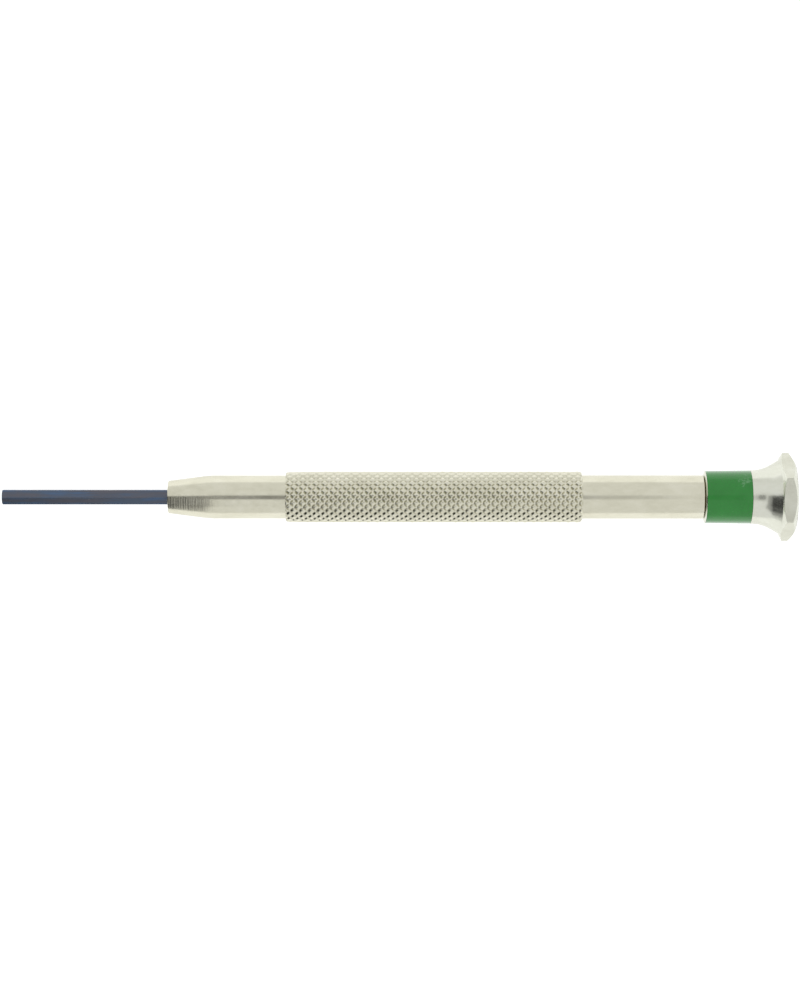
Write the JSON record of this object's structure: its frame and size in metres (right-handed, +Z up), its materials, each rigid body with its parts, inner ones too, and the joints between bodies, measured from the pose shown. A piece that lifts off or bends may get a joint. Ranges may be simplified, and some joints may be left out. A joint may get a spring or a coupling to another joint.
{
  "type": "watchmaker screwdriver",
  "caption": "Slim hexagonal-blade watchmaker's screwdriver with a knurled metal handle, a coloured size ring and a free-turning flared hexagonal head.",
  "frame": {"origin": "centre of the blade's end face, on the tool's axis", "axes": "+X along the tool from the blade's tip to the head's dome; +Z up, square to one flat of the hexagonal head, so the tool lies on the opposite flat; +Y to the left when looking from the tip to the head"},
  "size_m": [0.1113, 0.0124, 0.0108],
  "materials": {
    "nickel_plate": "satin",
    "blued_steel": "satin",
    "screw_steel": "satin",
    "pin_steel": "polished",
    "washer_brass": "satin",
    "collar_nickel": "polished",
    "green_plastic": "gloss",
    "ball_steel": "polished",
    "head_nickel": "polished"
  },
  "bodies": {
    "handle": {"handle_body": "nickel_plate", "pivot_pin": "pin_steel", "pivot_washer": "washer_brass"},
    "head": {"swivel_head": "head_nickel", "bearing_bush": "collar_nickel", "size_ring": "green_plastic", "thrust_ball": "ball_steel"},
    "blade": {"hex_blade": "blued_steel"},
    "set_screw": {"blade_set_screw": "screw_steel"}
  },
  "joints": [
    {"name": "head_spin", "type": "hinge", "parent": "handle", "child": "head", "pos_m": [0.09822, 0, 0], "axis": [1, 0, 0], "continuous": true},
    {"name": "blade_slide", "type": "slide", "parent": "handle", "child": "blade", "axis": [-1, 0, 0], "range_m": [0, 0.011]},
    {"name": "set_screw_travel", "type": "slide", "parent": "handle", "child": "set_screw", "axis": [0, 0.5, -0.866], "range_m": [0, 0.0009]}
  ]
}
